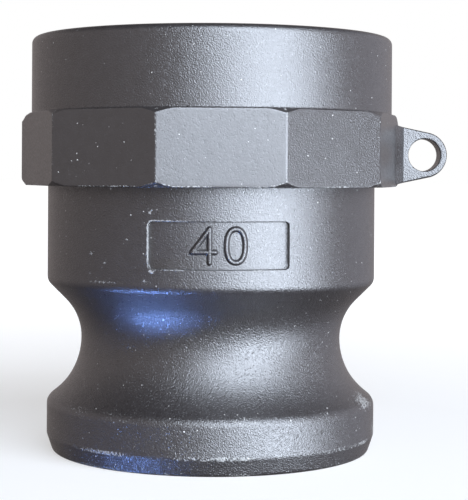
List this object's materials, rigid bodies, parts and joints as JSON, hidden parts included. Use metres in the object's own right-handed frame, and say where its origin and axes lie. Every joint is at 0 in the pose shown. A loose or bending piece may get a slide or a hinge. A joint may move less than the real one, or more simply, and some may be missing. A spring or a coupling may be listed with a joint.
{
  "type": "cam and groove coupling adapter",
  "caption": "Moulded plastic male cam and groove adapter: grooved cam spigot, wrench band with a lanyard eye, and a socket with a female pipe thread.",
  "frame": {"origin": "centre of the flow bore at the nose end of the cam spigot", "axes": "+Z along the axis towards the mouth of the pipe thread, +X towards the lanyard eye, -Y out of the marking pocket"},
  "size_m": [0.0696, 0.059, 0.0667],
  "materials": {
    "black_polypropylene": "injection-moulded glass-filled polypropylene, black, fine matt spark texture"
  },
  "bodies": {
    "root": {"adapter_body": "black_polypropylene"}
  },
  "joints": []
}
